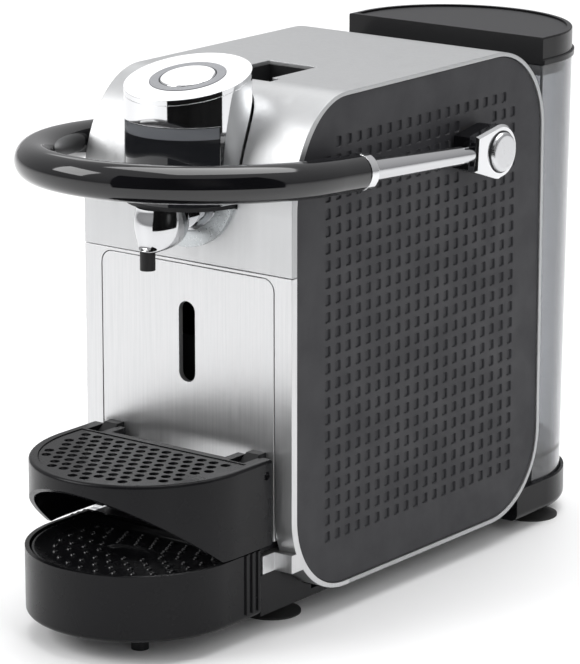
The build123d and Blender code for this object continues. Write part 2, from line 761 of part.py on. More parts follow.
with BuildPart() as drip_tray:
    with BuildSketch(Plane.XY.offset(tray_low_z)):
        add(d_plan(tray_half_w, -tray_nose, tray_nose_y, tray_back_y))
    extrude(amount=tray_rim_z - tray_low_z)
    fillet(drip_tray.faces().sort_by(Axis.Z)[0].edges(), 2.5)
    with BuildSketch(Plane.XY.offset(tray_low_z + 2.5)):
        add(d_plan(tray_half_w - 2.2, -tray_nose + 2.2, tray_nose_y, tray_back_y - 2.2))
    extrude(amount=tray_rim_z, mode=Mode.SUBTRACT)
    # ledge under the cover
    with BuildSketch(Plane.XY.offset(tray_rim_z - 7)):
        add(d_plan(tray_half_w - 2.2, -tray_nose + 2.2, tray_nose_y, tray_back_y - 2.2))
        add(d_plan(tray_half_w - 5, -tray_nose + 5, tray_nose_y, tray_back_y - 5), mode=Mode.SUBTRACT)
    extrude(amount=2)
    # grip ribs beside the base
    rib_pitch = 4.5
    with BuildSketch(Plane.XY.offset(tray_low_z + 3)):
        for i in range(3):
            for side in (-1, 1):
                with Locations((side * tray_half_w, tray_back_y - 2 - i * rib_pitch)):
                    Rectangle(1.6, 1.8)
    extrude(amount=tray_rim_z - tray_low_z - 3)
    # the hook over the drawer frame's front edge
    with BuildSketch(Plane.XY.offset(frame_low_z)):
        with Locations((0, tray_back_y - 2)):
            Rectangle(90, 2.5, align=(Align.CENTER, Align.MIN))
    extrude(amount=frame_t)
save(drip_tray.part, "drip_tray")

cover_z = tray_rim_z - 5.0
cover_t = 2.2
with BuildPart() as tray_cover:
    with BuildSketch(Plane.XY.offset(cover_z)):
        add(d_plan(tray_half_w - 3.0, -tray_nose + 3.0, tray_nose_y, tray_back_y - 3.0))
    extrude(amount=tray_rim_z - 0.8 - cover_z)
    with BuildSketch(Plane.XY.offset(cover_z + cover_t)):
        add(d_plan(tray_half_w - 6.0, -tray_nose + 6.0, tray_nose_y, tray_back_y - 3.0))
    extrude(amount=6, taper=-30, mode=Mode.SUBTRACT)
    # drain recess in the middle
    with BuildSketch(Plane.XY.offset(cover_z + 1.0)):
        with Locations((0, tray_nose_y - 4)):
            Ellipse(15, 8)
    extrude(amount=4, mode=Mode.SUBTRACT)
save(tray_cover.part, "tray_cover")

with BuildPart() as tray_feet:
    with BuildSketch(Plane.XY):
        with Locations((-18, front_y - 59), (18, front_y - 59)):
            Circle(4.2)
    extrude(amount=tray_low_z)
save(tray_feet.part, "tray_feet")

# ---------------------------------------------------------------- folding cup shelf
shelf_back_y = front_y - 5.0
shelf_wall = 2.4
rim_w = 4.5
grid_t = 1.8
lug_x = 44.0
lug_w = 8.0
with BuildPart() as cup_shelf:
    with BuildSketch(Plane.XY.offset(shelf_low_z)):
        add(d_plan(shelf_half_w, -shelf_nose, shelf_nose_y, shelf_back_y))
    extrude(amount=shelf_top_z - shelf_low_z)
    fillet(cup_shelf.faces().sort_by(Axis.Z)[-1].edges().filter_by(GeomType.ELLIPSE), 1.6)
    with BuildSketch(Plane.XY.offset(shelf_low_z - 1)):
        inner_half_w = shelf_half_w - shelf_wall
        add(d_plan(inner_half_w, -shelf_nose + shelf_wall, shelf_nose_y, shelf_back_y - shelf_wall))
    extrude(amount=shelf_top_z - shelf_low_z - 3.6, mode=Mode.SUBTRACT)
    # opening for the grid, with a ledge
    grid_back_y = front_y - 19.0
    with BuildSketch(Plane.XY.offset(shelf_top_z - grid_t - 0.4)):
        add(d_plan(shelf_half_w - rim_w, -shelf_nose + rim_w, shelf_nose_y, grid_back_y))
    extrude(amount=5, mode=Mode.SUBTRACT)
    with BuildSketch(Plane.XY.offset(shelf_low_z)):
        add(d_plan(shelf_half_w - rim_w - 3, -shelf_nose + rim_w + 3, shelf_nose_y, grid_back_y - 3))
    extrude(amount=60, mode=Mode.SUBTRACT)
    # the skirt rises towards the front
    with BuildSketch(Plane.YZ.offset(-100)):
        with BuildLine():
            Polyline(
                (front_y - 40, shelf_low_z - 1), (front_y - 92, shelf_low_z + 38.0),
                (front_y - 120, shelf_low_z + 38.0), (front_y - 120, shelf_low_z - 1), close=True,
            )
        make_face()
    extrude(amount=200, mode=Mode.SUBTRACT)
    # notches for the hinge blocks
    with BuildSketch(Plane.XY.offset(shelf_low_z - 1)):
        for side in (-1, 1):
            with Locations((side * lug_x, shelf_back_y + 1)):
                Rectangle(lug_w + 0.8, 14, align=(Align.CENTER, Align.MAX))
    extrude(amount=60, mode=Mode.SUBTRACT)
    # pin holes
    with BuildSketch(Plane.YZ):
        with Locations((shelf_pin_y, shelf_pin_z)):
            Circle(2.0 + run_fit)
    extrude(amount=100, both=True, mode=Mode.SUBTRACT)
    # pin bearings each side of the hinge blocks
    with BuildSketch(Plane.YZ):
        with Locations((shelf_pin_y, shelf_pin_z)):
            Circle(4.0)
            Rectangle(8, shelf_top_z - shelf_pin_z - 1, align=(Align.CENTER, Align.MIN))
            Circle(2.0 + run_fit, mode=Mode.SUBTRACT)
    extrude(amount=lug_x - lug_w / 2 - 0.4, both=True)
    with BuildSketch(Plane.YZ):
        with Locations((shelf_pin_y, shelf_pin_z)):
            Circle(6.0)
            Rectangle(12, shelf_top_z - shelf_pin_z + 2, align=(Align.CENTER, Align.MIN))
    extrude(amount=lug_x - lug_w / 2 - 5, both=True, mode=Mode.SUBTRACT)
save(cup_shelf.part, "cup_shelf")

hole_pitch = 7.2
hole_r = 2.4
grid_inset = rim_w + 0.3
with BuildPart() as shelf_grid:
    with BuildSketch(Plane.XY.offset(shelf_top_z - grid_t - 0.4)):
        add(d_plan(shelf_half_w - grid_inset, -shelf_nose + grid_inset, shelf_nose_y, grid_back_y - 0.3))
        rows = 9
        row_step = hole_pitch * sqrt(3) / 2
        for i in range(rows + 2):
            y = grid_back_y - 6 - i * row_step
            reach = max(0.0, 1 - max(0.0, (shelf_nose_y - y) / (shelf_nose - grid_inset - 3)) ** 2)
            edge = (shelf_half_w - grid_inset - 4) * sqrt(reach)
            count = int(edge / hole_pitch - 0.5 * (i % 2))
            for j in range(-count - (i % 2), count + 1):
                with Locations(((j + 0.5 * (i % 2)) * hole_pitch, y)):
                    Circle(hole_r, mode=Mode.SUBTRACT)
    extrude(amount=grid_t)
save(shelf_grid.part, "shelf_grid")

with BuildPart() as hinge_blocks:
    with BuildSketch(Plane.YZ.offset(lug_x - lug_w / 2)):
        with BuildLine():
            Polyline(
                (front_y, frame_low_z + frame_t + 2), (front_y, shelf_top_z + 1),
                (front_y - 5, shelf_top_z + 1), (shelf_pin_y - 4, shelf_pin_z + 3),
                (shelf_pin_y - 4, shelf_pin_z - 5), (front_y - 4, frame_low_z + frame_t + 2), close=True,
            )
        make_face()
        with Locations((shelf_pin_y, shelf_pin_z)):
            Circle(2.0, mode=Mode.SUBTRACT)
    extrude(amount=lug_w)
    mirror(about=Plane.YZ)
save(hinge_blocks.part, "hinge_blocks")

with BuildPart() as hinge_pins:
    with BuildSketch(Plane.YZ.offset(lug_x - lug_w / 2 - 4.5)):
        with Locations((shelf_pin_y, shelf_pin_z)):
            Circle(2.0)
    extrude(amount=lug_w + 10)
    mirror(about=Plane.YZ)
save(hinge_pins.part, "hinge_pins")

# ---------------------------------------------------------------- water tank
tank_draft = 2.7           # the tank is this much narrower at its foot
tank_bands = ((tank_low_z, tank_draft), (tank_top_z, 0.0))
with BuildPart() as tank_body:
    for z, shrink in tank_bands:
        with BuildSketch(Plane.XY.offset(z)):
            add(d_plan(tank_half_w - shrink, tank_nose - shrink, tank_nose_y, tank_flat_y))
    loft(ruled=True)
    for z, shrink in ((tank_floor_z, tank_draft * 0.9), (tank_top_z + 1, 0.0)):
        with BuildSketch(Plane.XY.offset(z)):
            inner = tank_half_w - tank_wall - shrink
            add(d_plan(inner, tank_nose - tank_wall - shrink, tank_nose_y, tank_flat_y + tank_wall))
    loft(ruled=True, mode=Mode.SUBTRACT)
    # recess under the tank's floor
    with BuildSketch(Plane.XY.offset(tank_low_z - 1)):
        inner = tank_half_w - tank_wall - tank_draft
        add(d_plan(inner, tank_nose - tank_wall - tank_draft, tank_nose_y, tank_flat_y + tank_wall))
    extrude(amount=tank_floor_z - tank_low_z - 1.5, mode=Mode.SUBTRACT)
    # hole for the valve
    with BuildSketch(Plane.XY.offset(tank_low_z)):
        with Locations((0, tank_nose_y + 6)):
            Circle(8.0)
    extrude(amount=tank_floor_z, mode=Mode.SUBTRACT)
save(tank_body.part, "tank_body")

with BuildPart() as tank_valve:
    with BuildSketch(Plane.XY.offset(tank_low_z + 7)):
        with Locations((0, tank_nose_y + 6)):
            Circle(7.9)
    extrude(amount=tank_floor_z - tank_low_z - 4)
    with BuildSketch(Plane.XY.offset(tank_floor_z)):
        with Locations((0, tank_nose_y + 6)):
            Circle(10.0)
    extrude(amount=3)
    with BuildSketch(Plane.XY.offset(tank_low_z + 6)):
        with Locations((0, tank_nose_y + 6)):
            Circle(3.5)
    extrude(amount=30, mode=Mode.SUBTRACT)
save(tank_valve.part, "tank_valve")

with BuildPart() as water_coupling:
    with BuildSketch(Plane.XY.offset(case_z)):
        with Locations((0, tank_nose_y + 6)):
            Circle(10.0)
    extrude(amount=tank_low_z + 5 - case_z)
    with BuildSketch(Plane.XY.offset(tank_low_z + 5)):
        with Locations((0, tank_nose_y + 6)):
            Circle(3.0)
    extrude(amount=6)
save(water_coupling.part, "water_coupling")

flange_z = tank_top_z + 0.4
with BuildPart() as tank_lid:
    with BuildSketch(Plane.XY.offset(flange_z)):
        add(d_plan(tank_half_w + 1.2, tank_nose + 1.0, tank_nose_y, tank_flat_y))
    extrude(amount=2.6)
    with BuildSketch(Plane.XY.offset(flange_z + 2.6)):
        add(d_plan(tank_half_w, tank_nose, tank_nose_y, tank_flat_y))
    extrude(amount=lid_top_z - flange_z - 2.6)
    fillet(tank_lid.faces().sort_by(Axis.Z)[-1].edges().filter_by(GeomType.ELLIPSE), 1.0)
    # the top is recessed inside a narrow rim
    with BuildSketch(Plane.XY.offset(lid_top_z - 1.2)):
        add(d_plan(tank_half_w - 2.8, tank_nose - 2.8, tank_nose_y, tank_flat_y + 2.8))
    extrude(amount=4, mode=Mode.SUBTRACT)
    # collar that drops into the tank
    with BuildSketch(Plane.XY.offset(flange_z - 6)):
        add(d_plan(tank_half_w - 2.8, tank_nose - 2.8, tank_nose_y, tank_flat_y + 2.8))
        add(d_plan(tank_half_w - 4.6, tank_nose - 4.6, tank_nose_y, tank_flat_y + 4.6), mode=Mode.SUBTRACT)
    extrude(amount=6)
    with BuildSketch(Plane.XY.offset(flange_z - 1)):
        add(d_plan(tank_half_w - 4.6, tank_nose - 4.6, tank_nose_y, tank_flat_y + 4.6))
    extrude(amount=lid_top_z - flange_z - 2.2, mode=Mode.SUBTRACT)
save(tank_lid.part, "tank_lid")

# ---------------------------------------------------------------- inner works
heater_y = front_y + 150.0
heater_z = case_z + 110.0
chassis_z = case_z + rim_t
chassis_t = 2.5
chassis_front_y = front_y + 116.0
chassis_back_y = front_y + 167.0
with BuildPart() as chassis_plate:
    with BuildSketch(Plane.XY.offset(chassis_z)):
        with Locations((0, (chassis_front_y + chassis_back_y) / 2)):
            Rectangle(112, chassis_back_y - chassis_front_y)
    extrude(amount=chassis_t)
    # posts that carry the thermoblock
    with BuildSketch(Plane.XY.offset(chassis_z)):
        with Locations((-24, heater_y - 24), (42, heater_y - 24)):
            Rectangle(10, 4)
    extrude(amount=heater_z - chassis_z)
save(chassis_plate.part, "chassis_plate")

pump_y = front_y + 148.0
pump_z = case_z + 34.0
pump_r = 17.0
with BuildPart() as pump:
    with BuildSketch(Plane.YZ.offset(-30)):
        with Locations((pump_y, pump_z)):
            Circle(pump_r)
    extrude(amount=60)
    with BuildSketch(Plane.YZ.offset(-44)):
        with Locations((pump_y, pump_z)):
            Circle(9.0)
    extrude(amount=88)
    with BuildSketch(Plane.YZ.offset(-50)):
        with Locations((pump_y, pump_z)):
            Circle(3.0)
    extrude(amount=100)
save(pump.part, "pump")

with BuildPart() as pump_coil:
    with BuildSketch(Plane.YZ.offset(-18)):
        with Locations((pump_y, pump_z)):
            RectangleRounded(42, 42, 4)
            Circle(pump_r, mode=Mode.SUBTRACT)
    extrude(amount=36)
save(pump_coil.part, "pump_coil")

with BuildPart() as pump_mounts:
    for x in (-38.0, 38.0):
        with BuildSketch(Plane.YZ.offset(x - 3)):
            with Locations((pump_y, chassis_z + chassis_t)):
                Rectangle(20, pump_z - chassis_z - chassis_t, align=(Align.CENTER, Align.MIN))
            with Locations((pump_y, pump_z)):
                Circle(13)
                Circle(9.0, mode=Mode.SUBTRACT)
        extrude(amount=6)
save(pump_mounts.part, "pump_mounts")

with BuildPart() as thermoblock:
    with BuildSketch(Plane.XY.offset(heater_z)):
        with Locations((10, heater_y)):
            RectangleRounded(76, 56, 6)
    extrude(amount=30)
    with BuildSketch(Plane.XY.offset(heater_z + 30)):
        with Locations((10, heater_y)):
            with GridLocations(60, 40, 2, 2):
                Circle(5.0)
    extrude(amount=5)
    with BuildSketch(Plane.XZ.offset(-heater_y + 28)):
        with Locations((20, heater_z + 20)):
            Circle(4.0)
    extrude(amount=8)
save(thermoblock.part, "thermoblock")

meter_z = case_z + 76.0
with BuildPart() as flow_meter:
    with BuildSketch(Plane.XY.offset(meter_z)):
        with Locations((34, heater_y - 4)):
            Circle(14)
    extrude(amount=14)
    with BuildSketch(Plane.XZ.offset(-heater_y + 4 + 20)):
        with Locations((34, meter_z + 7)):
            Circle(3.0)
    extrude(amount=-40)
save(flow_meter.part, "flow_meter")

board_x = -56.0
with BuildPart() as control_board:
    with BuildSketch(Plane.YZ.offset(board_x)):
        with Locations((heater_y, case_z + 110)):
            Rectangle(58, 110)
    extrude(amount=1.6)
    with BuildSketch(Plane.YZ.offset(board_x + 1.6)):
        with Locations((heater_y, case_z + 110)):
            with GridLocations(26, 30, 2, 3):
                Rectangle(14, 12)
    extrude(amount=9)
save(control_board.part, "control_board")

tube_r = 3.0


hose_routes = (
    (
        (34, heater_y + 16, meter_z + 7), (34, heater_y + 42, meter_z + 7),
        (34, heater_y + 42, case_z + 50),
    ),
    (
        (20, heater_y - 36, heater_z + 20), (20, heater_y - 56, heater_z + 20),
        (20, heater_y - 56, brew_z - 34),
    ),
)
with BuildPart() as hoses:
    for route in hose_routes:
        with BuildLine() as path:
            FilletPolyline(*route, radius=12.0)
        with BuildSketch(Plane(origin=path.line @ 0, z_dir=path.line % 0)):
            Circle(tube_r)
        sweep()
save(hoses.part, "hoses")

with BuildPart() as screws:
    with BuildSketch(Plane.XY.offset(base_low_z - 1.4)):
        with Locations((0, front_y + 100)):
            with GridLocations(2 * base_half_w - 18, 72, 2, 3):
                Circle(3.6)
    extrude(amount=1.4)
    with BuildSketch(Plane.YZ.offset(plate_x + plate_t)):
        with Locations((block_front_y + 3.5, brew_z - 20), (block_front_y + 3.5, brew_z + 12)):
            Circle(3.2)
    extrude(amount=2.0)
    mirror(about=Plane.YZ)
save(screws.part, "screws")
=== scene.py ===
import bpy
import bmesh
from math import cos, pi, radians, sin
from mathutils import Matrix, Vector
from mathutils.geometry import delaunay_2d_cdt


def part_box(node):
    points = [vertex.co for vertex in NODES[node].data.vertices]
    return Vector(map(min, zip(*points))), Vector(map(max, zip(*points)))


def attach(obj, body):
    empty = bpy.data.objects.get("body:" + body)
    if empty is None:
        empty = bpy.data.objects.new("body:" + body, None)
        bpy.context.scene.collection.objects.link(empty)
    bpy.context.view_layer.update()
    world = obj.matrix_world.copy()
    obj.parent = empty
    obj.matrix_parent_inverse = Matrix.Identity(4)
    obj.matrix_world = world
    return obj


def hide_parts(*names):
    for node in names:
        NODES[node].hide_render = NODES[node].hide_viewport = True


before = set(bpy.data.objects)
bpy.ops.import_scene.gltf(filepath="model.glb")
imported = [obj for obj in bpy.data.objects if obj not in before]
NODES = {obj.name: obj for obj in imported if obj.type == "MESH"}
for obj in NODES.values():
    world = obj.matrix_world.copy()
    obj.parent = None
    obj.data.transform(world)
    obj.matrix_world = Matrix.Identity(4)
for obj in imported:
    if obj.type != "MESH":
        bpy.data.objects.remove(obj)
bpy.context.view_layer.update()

# Measures of the case, in metres: three from the frame, the others the same as in the CAD model.
HALF_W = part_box("case_shell")[1][0]
FRONT_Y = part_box("case_shell")[0][1]
CASE_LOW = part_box("case_shell")[0][2]
CASE_D = 0.2104
CASE_H = 0.2442
CORNER_R = 0.0425
BROW_DROP = 0.054
PIVOT = Vector((0, FRONT_Y + 0.149, CASE_LOW + 0.1995))


# ---------------------------------------------------------------- camera
# Place in metres, angles in degrees, lens and sensor in millimetres.
CAMERA_AT = (1.09569, -1.44114, 0.59002)
CAMERA_AZIMUTH, CAMERA_ELEVATION = 37.491, 14.54
CAMERA_LENS, CAMERA_SENSOR = 202.66, 36.0


def add_camera():
    azimuth, elevation = radians(CAMERA_AZIMUTH), radians(CAMERA_ELEVATION)
    data = bpy.data.cameras.new("camera")
    data.lens = CAMERA_LENS
    data.sensor_width = CAMERA_SENSOR
    data.clip_end = 50.0
    cam = bpy.data.objects.new("camera", data)
    cam.location = CAMERA_AT
    cam.rotation_euler = (pi / 2 - elevation, 0, azimuth)
    bpy.context.scene.collection.objects.link(cam)
    bpy.context.scene.camera = cam


add_camera()
bpy.context.scene.view_settings.view_transform = "Standard"


# ---------------------------------------------------------------- node helpers
class Shader:
    """One node material being built up."""

    def __init__(self, name, **inputs):
        self.material = bpy.data.materials.new(name)
        self.material.use_nodes = True
        self.tree = self.material.node_tree
        self.tree.nodes.clear()
        out = self.tree.nodes.new("ShaderNodeOutputMaterial")
        self.bsdf = self.tree.nodes.new("ShaderNodeBsdfPrincipled")
        self.link(self.bsdf.outputs[0], out.inputs["Surface"])
        self.coords = self.tree.nodes.new("ShaderNodeTexCoord").outputs["Object"]
        for key, value in inputs.items():
            self.set(key, value)

    def set(self, key, value):
        self.bsdf.inputs[key.replace("_", " ")].default_value = value

    def link(self, a, b):
        self.tree.links.new(a, b)

    def node(self, kind, **props):
        n = self.tree.nodes.new(kind)
        for key, value in props.items():
            setattr(n, key, value)
        return n

    def mapped(self, scale):
        m = self.node("ShaderNodeMapping")
        m.inputs["Scale"].default_value = scale
        self.link(self.coords, m.inputs["Vector"])
        return m.outputs[0]

    def noise(self, scale, stretch=(1, 1, 1), detail=3.0, rough=0.55):
        n = self.node("ShaderNodeTexNoise")
        n.inputs["Scale"].default_value = scale
        n.inputs["Detail"].default_value = detail
        n.inputs["Roughness"].default_value = rough
        self.link(self.mapped(stretch), n.inputs["Vector"])
        return n.outputs[0]

    def cells(self, scale):
        n = self.node("ShaderNodeTexVoronoi")
        n.inputs["Scale"].default_value = scale
        self.link(self.coords, n.inputs["Vector"])
        return n.outputs["Distance"]

    def remap(self, value, lo, hi, from_lo=0.3, from_hi=0.7):
        r = self.node("ShaderNodeMapRange")
        r.inputs["From Min"].default_value = from_lo
        r.inputs["From Max"].default_value = from_hi
        r.inputs["To Min"].default_value = lo
        r.inputs["To Max"].default_value = hi
        self.link(value, r.inputs["Value"])
        return r.outputs[0]

    def shade(self, value, dark, light, lo=0.3, hi=0.7):
        """Colour that runs from dark to light as value goes from lo to hi."""
        ramp = self.node("ShaderNodeValToRGB")
        ramp.color_ramp.elements[0].position = lo
        ramp.color_ramp.elements[1].position = hi
        ramp.color_ramp.elements[0].color = (*dark, 1)
        ramp.color_ramp.elements[1].color = (*light, 1)
        self.link(value, ramp.inputs[0])
        self.link(ramp.outputs[0], self.bsdf.inputs["Base Color"])

    def rough(self, value, lo, hi):
        self.link(self.remap(value, lo, hi), self.bsdf.inputs["Roughness"])

    def bump(self, value, strength, distance, edge=0.0):
        """Bump from value, over edges softened by a small radius."""
        b = self.node("ShaderNodeBump")
        b.inputs["Strength"].default_value = strength
        b.inputs["Distance"].default_value = distance
        self.link(value, b.inputs["Height"])
        if edge:
            e = self.node("ShaderNodeBevel", samples=4)
            e.inputs["Radius"].default_value = edge
            self.link(e.outputs[0], b.inputs["Normal"])
        self.link(b.outputs[0], self.bsdf.inputs["Normal"])


def metal(name, dark, light, rough, stretch=(1, 1, 1), grain=400, bump=0.1, edge=0.0):
    s = Shader(name, Metallic=1.0)
    fine = s.noise(grain, stretch, 2.0)
    s.shade(s.noise(9, detail=2.0), dark, light)
    s.rough(fine, rough * 0.85, rough * 1.15)
    s.bump(fine, bump, 0.00005, edge)
    return s.material


def plastic(name, dark, light, rough, grain=1500, bump=0.15, coat=0.0, edge=0.0004, specular=0.5):
    s = Shader(name, Coat_Weight=coat, Coat_Roughness=0.05, Specular_IOR_Level=specular)
    fine = s.noise(grain, detail=2.0)
    s.shade(s.noise(14, detail=4.0), dark, light)
    s.rough(s.noise(60, detail=4.0), rough * 0.85, rough * 1.2)
    s.bump(fine, bump, 0.00006, edge)
    return s.material


def silver_paint():
    """Satin silver with fine flakes, with painted light: faces turned to the front are painted paler than
    the rest.
    """
    s = Shader("silver_satin", Metallic=0.9, Coat_Weight=0.1, Coat_Roughness=0.28)
    flakes = s.remap(s.cells(2600), -0.04, 0.04, 0.1, 0.8)
    # painted light: the tone rises as a face turns to the front, so faces turned to the front are painted
    # paler
    facing_for_painted_light = s.node("ShaderNodeSeparateXYZ")
    s.link(s.node("ShaderNodeTexCoord").outputs["Normal"], facing_for_painted_light.inputs[0])
    tone_with_painted_light = s.node("ShaderNodeMath", operation="SUBTRACT")
    s.link(flakes, tone_with_painted_light.inputs[0])
    s.link(facing_for_painted_light.outputs["Y"], tone_with_painted_light.inputs[1])
    s.shade(tone_with_painted_light.outputs[0], (0.43, 0.435, 0.44), (0.57, 0.575, 0.58), 0.0, 1.0)
    s.rough(s.noise(420, (1, 1, 0.06), 2.0), 0.40, 0.48)
    s.bump(s.noise(1400, (1, 1, 0.25), 2.0), 0.12, 0.00005, 0.0007)
    return s.material


def brushed_front():
    """Silver with a fine upright grain."""
    s = Shader("brushed_front", Metallic=0.9, Coat_Weight=0.1, Coat_Roughness=0.3)
    s.set("Anisotropic", 0.4)
    grain = s.noise(900, (1, 1, 0.03), 3.0)
    s.shade(grain, (0.56, 0.565, 0.57), (0.63, 0.63, 0.635))
    s.rough(grain, 0.30, 0.38)
    s.bump(grain, 0.08, 0.00003, 0.0005)
    return s.material


def tank_plastic():
    """Tinted clear plastic with painted shade, darker where a wall is seen edge on, and faint upright
    streaks, lighter and darker, as painted highlights.
    """
    s = Shader("tank_plastic", IOR=1.45, Transmission_Weight=0.93)
    # painted shade: the tint runs darker where a wall is seen edge on, with upright streaks of painted
    # highlight
    facing_for_painted_light = s.node("ShaderNodeLayerWeight")
    facing_for_painted_light.inputs["Blend"].default_value = 0.5
    painted_highlight_streaks = s.remap(s.noise(55, (1, 1, 0.03), 4.0), -0.12, 0.12)
    tone_with_painted_light = s.node("ShaderNodeMath", operation="ADD")
    s.link(facing_for_painted_light.outputs["Facing"], tone_with_painted_light.inputs[0])
    s.link(painted_highlight_streaks, tone_with_painted_light.inputs[1])
    s.shade(tone_with_painted_light.outputs[0], (0.50, 0.51, 0.53), (0.10, 0.105, 0.115), 0.25, 0.95)
    s.rough(s.noise(40, (1, 1, 0.1)), 0.05, 0.10)
    s.bump(s.noise(30, (1, 1, 0.05)), 0.1, 0.0002)
    return s.material


STRIP_Z = CASE_LOW + 0.2252
STRIP_BLUR = 0.0002


def smoked_window():
    """Dark gloss, paler above STRIP_Z."""
    s = Shader("smoked_window", Roughness=0.07, Coat_Weight=0.3, Specular_IOR_Level=0.4)
    split = s.node("ShaderNodeSeparateXYZ")
    s.link(s.coords, split.inputs[0])
    height = s.remap(split.outputs["Z"], 0.0, 1.0, STRIP_Z - STRIP_BLUR, STRIP_Z + STRIP_BLUR)
    s.shade(height, (0.010, 0.0105, 0.012), (0.11, 0.115, 0.125), 0.1, 0.9)
    s.bump(s.noise(20), 0.02, 0.0001)
    return s.material


def lid_plastic():
    """One black plastic, matt on the flat top and satin round the sides, with painted light: the flat top
    is painted pale grey.
    """
    s = Shader("lid_grey", Specular_IOR_Level=0.22)
    split = s.node("ShaderNodeSeparateXYZ")
    s.link(s.node("ShaderNodeTexCoord").outputs["Normal"], split.inputs[0])
    facing_up = split.outputs["Z"]
    # painted light: faces turned up are painted pale grey, the sides stay near black
    s.shade(facing_up, (0.004, 0.004, 0.0045), (0.028, 0.028, 0.030), 0.90, 0.97)
    s.link(s.remap(facing_up, 0.25, 0.6, 0.90, 0.97), s.bsdf.inputs["Roughness"])
    s.bump(s.noise(1500, detail=2.0), 0.2, 0.00006, 0.0004)
    return s.material


def circuit_board():
    s = Shader("circuit_board", Roughness=0.5)
    s.shade(s.cells(300), (0.01, 0.09, 0.04), (0.02, 0.16, 0.07), 0.2, 0.6)
    s.bump(s.cells(300), 0.3, 0.0002)
    return s.material


def copper():
    s = Shader("copper_winding", Metallic=0.9)
    lines = s.noise(500, (1, 0.02, 0.02))
    s.shade(lines, (0.35, 0.13, 0.04), (0.62, 0.28, 0.12))
    s.rough(lines, 0.3, 0.45)
    s.bump(lines, 0.5, 0.0002)
    return s.material


FINISH = {
    "silver": silver_paint(),
    "brushed": brushed_front(),
    "panel": plastic(
        "panel_charcoal", (0.021, 0.021, 0.024), (0.026, 0.026, 0.029), 0.5,
        bump=0.25, edge=0, specular=0.28,
    ),
    "chrome": metal("chrome", (0.66, 0.67, 0.68), (0.74, 0.74, 0.75), 0.05, bump=0.0, edge=0.0004),
    # a darker copy of the chrome without edge rounding: painted shade standing for the dark reflections on
    # the spout and lever arms
    "chrome_painted_dark": metal("chrome_painted_dark", (0.50, 0.51, 0.52), (0.58, 0.58, 0.59), 0.07, bump=0.0),
    "spun": metal(
        "spun_cap", (0.52, 0.53, 0.54), (0.60, 0.60, 0.61), 0.24, grain=700, bump=0.04, edge=0.0004,
    ),
    "button": metal("button_polished", (0.66, 0.67, 0.68), (0.76, 0.76, 0.77), 0.12, bump=0.0, edge=0.0004),
    "collar": metal(
        "collar_grey", (0.40, 0.42, 0.43), (0.50, 0.52, 0.53), 0.30, grain=900, bump=0.03, edge=0.0004,
    ),
    "light": plastic("light_ring", (0.12, 0.125, 0.135), (0.17, 0.175, 0.19), 0.3, coat=0.1, edge=0.0003),
    "smoked": smoked_window(),
    "grip": plastic(
        "grip_black", (0.003, 0.003, 0.0035), (0.005, 0.005, 0.006), 0.07,
        bump=0.0, coat=0.35, edge=0, specular=0.4,
    ),
    "black": plastic(
        "black_satin", (0.004, 0.004, 0.0045), (0.006, 0.006, 0.007), 0.25, bump=0.1, specular=0.16,
    ),
    "black_matt": plastic(
        "black_matt", (0.008, 0.008, 0.009), (0.013, 0.013, 0.014), 0.5, bump=0.2, specular=0.25,
    ),
    "rubber": plastic("rubber", (0.010, 0.010, 0.010), (0.016, 0.016, 0.016), 0.7, grain=900, bump=0.3),
    "steel": metal("steel", (0.50, 0.50, 0.51), (0.62, 0.62, 0.63), 0.28, (1, 0.1, 1), 600, 0.15),
    "brass": metal("brass", (0.55, 0.38, 0.16), (0.68, 0.50, 0.24), 0.3, (0.1, 1, 1), 500, 0.15),
    "cast": metal("cast_aluminium", (0.45, 0.45, 0.46), (0.58, 0.58, 0.59), 0.45, grain=250, bump=0.6),
    "inner": plastic("inner_plastic", (0.50, 0.50, 0.48), (0.60, 0.60, 0.58), 0.4),
    "lid": lid_plastic(),
    "tank": tank_plastic(),
    "board": circuit_board(),
    "copper": copper(),
}

LOOKS = {
    "silver": ["case_shell"],
    "brushed": ["front_frame", "bin_door"],
    "panel": ["side_panel_right", "side_panel_left"],
    "chrome": ["head_housing", "head_ring", "outlet_plate", "lever_collars", "lever_plates"],
    "chrome_painted_dark": ["spout", "lever_arms"],
    "spun": ["lever_caps"],
    "button": ["brew_button"],
    "collar": ["outlet_collar"],
    "light": ["light_ring"],
    "smoked": ["head_window"],
    "grip": ["lever_grip"],
    "black": ["base", "tank_holder", "drip_tray", "tray_cover", "cup_shelf", "shelf_grid", "lever_bosses"],
    "black_matt": [
        "cord_gland", "head_floor", "nozzle", "hinge_blocks", "capsule_bin", "drawer_frame",
        "drawer_rails", "capsule_chute", "tray_feet", "water_coupling",
    ],
    "rubber": ["front_feet", "rear_feet", "pump_mounts", "hoses"],
    "steel": [
        "lever_shaft", "hinge_pins", "carriage_pin", "cranks", "toggle_links", "brew_side_plates",
        "chassis_plate", "screws", "pump",
    ],
    "brass": ["lever_bushes"],
    "cast": ["thermoblock"],
    "inner": ["brew_carriage", "brew_block", "flow_meter", "tank_valve"],
    "tank": ["tank_body"],
    "lid": ["tank_lid"],
    "board": ["button_board", "control_board"],
    "copper": ["pump_coil"],
}
for look, names in LOOKS.items():
    for name in names:
        obj = NODES[name]
        obj.data.materials.clear()
        obj.data.materials.append(FINISH[look])


# ---------------------------------------------------------------- mesh helpers
def arc_points(cy, cz, ry, rz, start, count=14):
    """Quarter ellipse in the side view, counter-clockwise from start degrees."""
    steps = [radians(start + 90 * i / count) for i in range(count + 1)]
    return [(cy + ry * cos(a), cz + rz * sin(a)) for a in steps]


